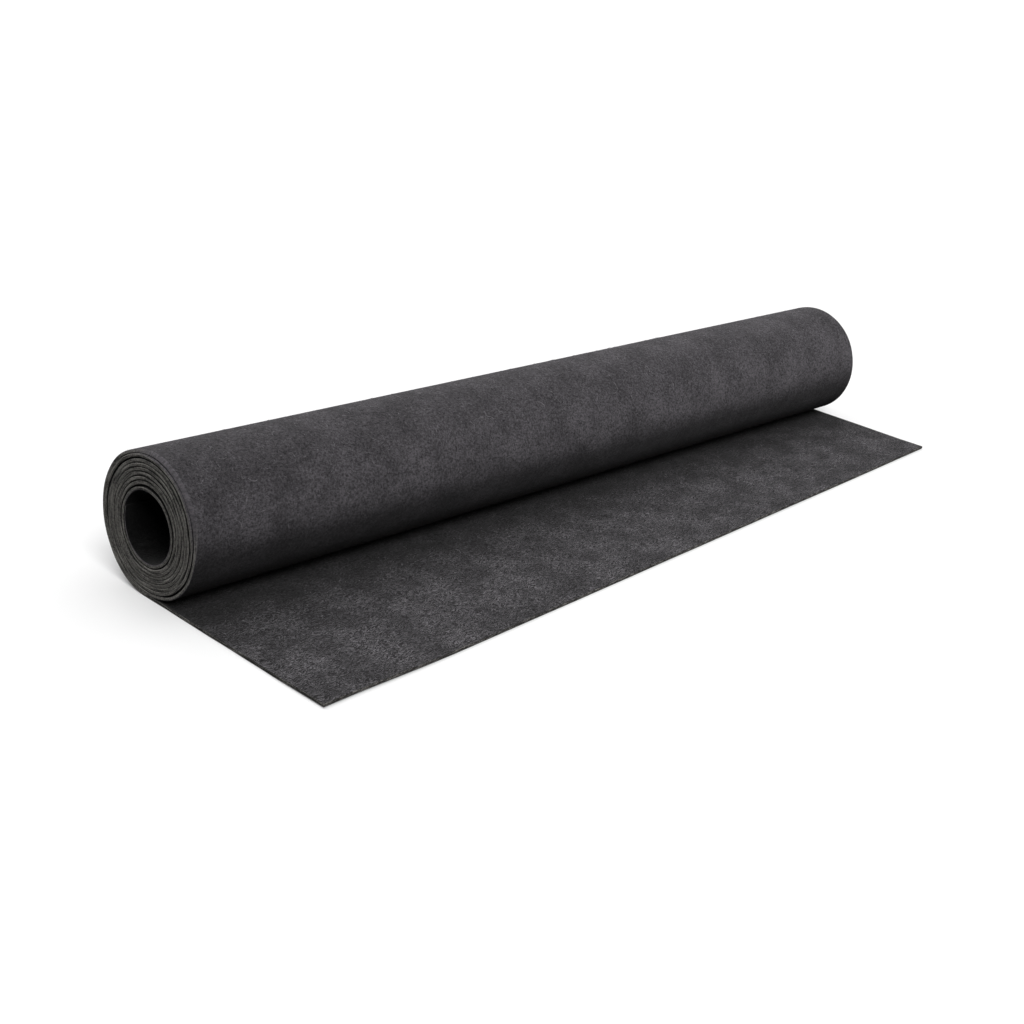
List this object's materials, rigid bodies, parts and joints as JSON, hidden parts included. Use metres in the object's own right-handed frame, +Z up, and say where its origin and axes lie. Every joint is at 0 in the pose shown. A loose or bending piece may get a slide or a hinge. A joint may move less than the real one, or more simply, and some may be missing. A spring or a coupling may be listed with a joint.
{
  "type": "roll of roofing felt",
  "caption": "Dark grey felt sheet wound in a roll about an open bore, with its outer end unrolled flat in front of it on the floor.",
  "frame": {"origin": "centre of the bounding box at the floor", "axes": "+X along the roll, +Z up, -Y the way the loose end points"},
  "size_m": [1, 0.2976, 0.1299],
  "materials": {
    "felt": "matt, fibrous"
  },
  "bodies": {
    "root": {"felt_roll": "felt"}
  },
  "joints": []
}
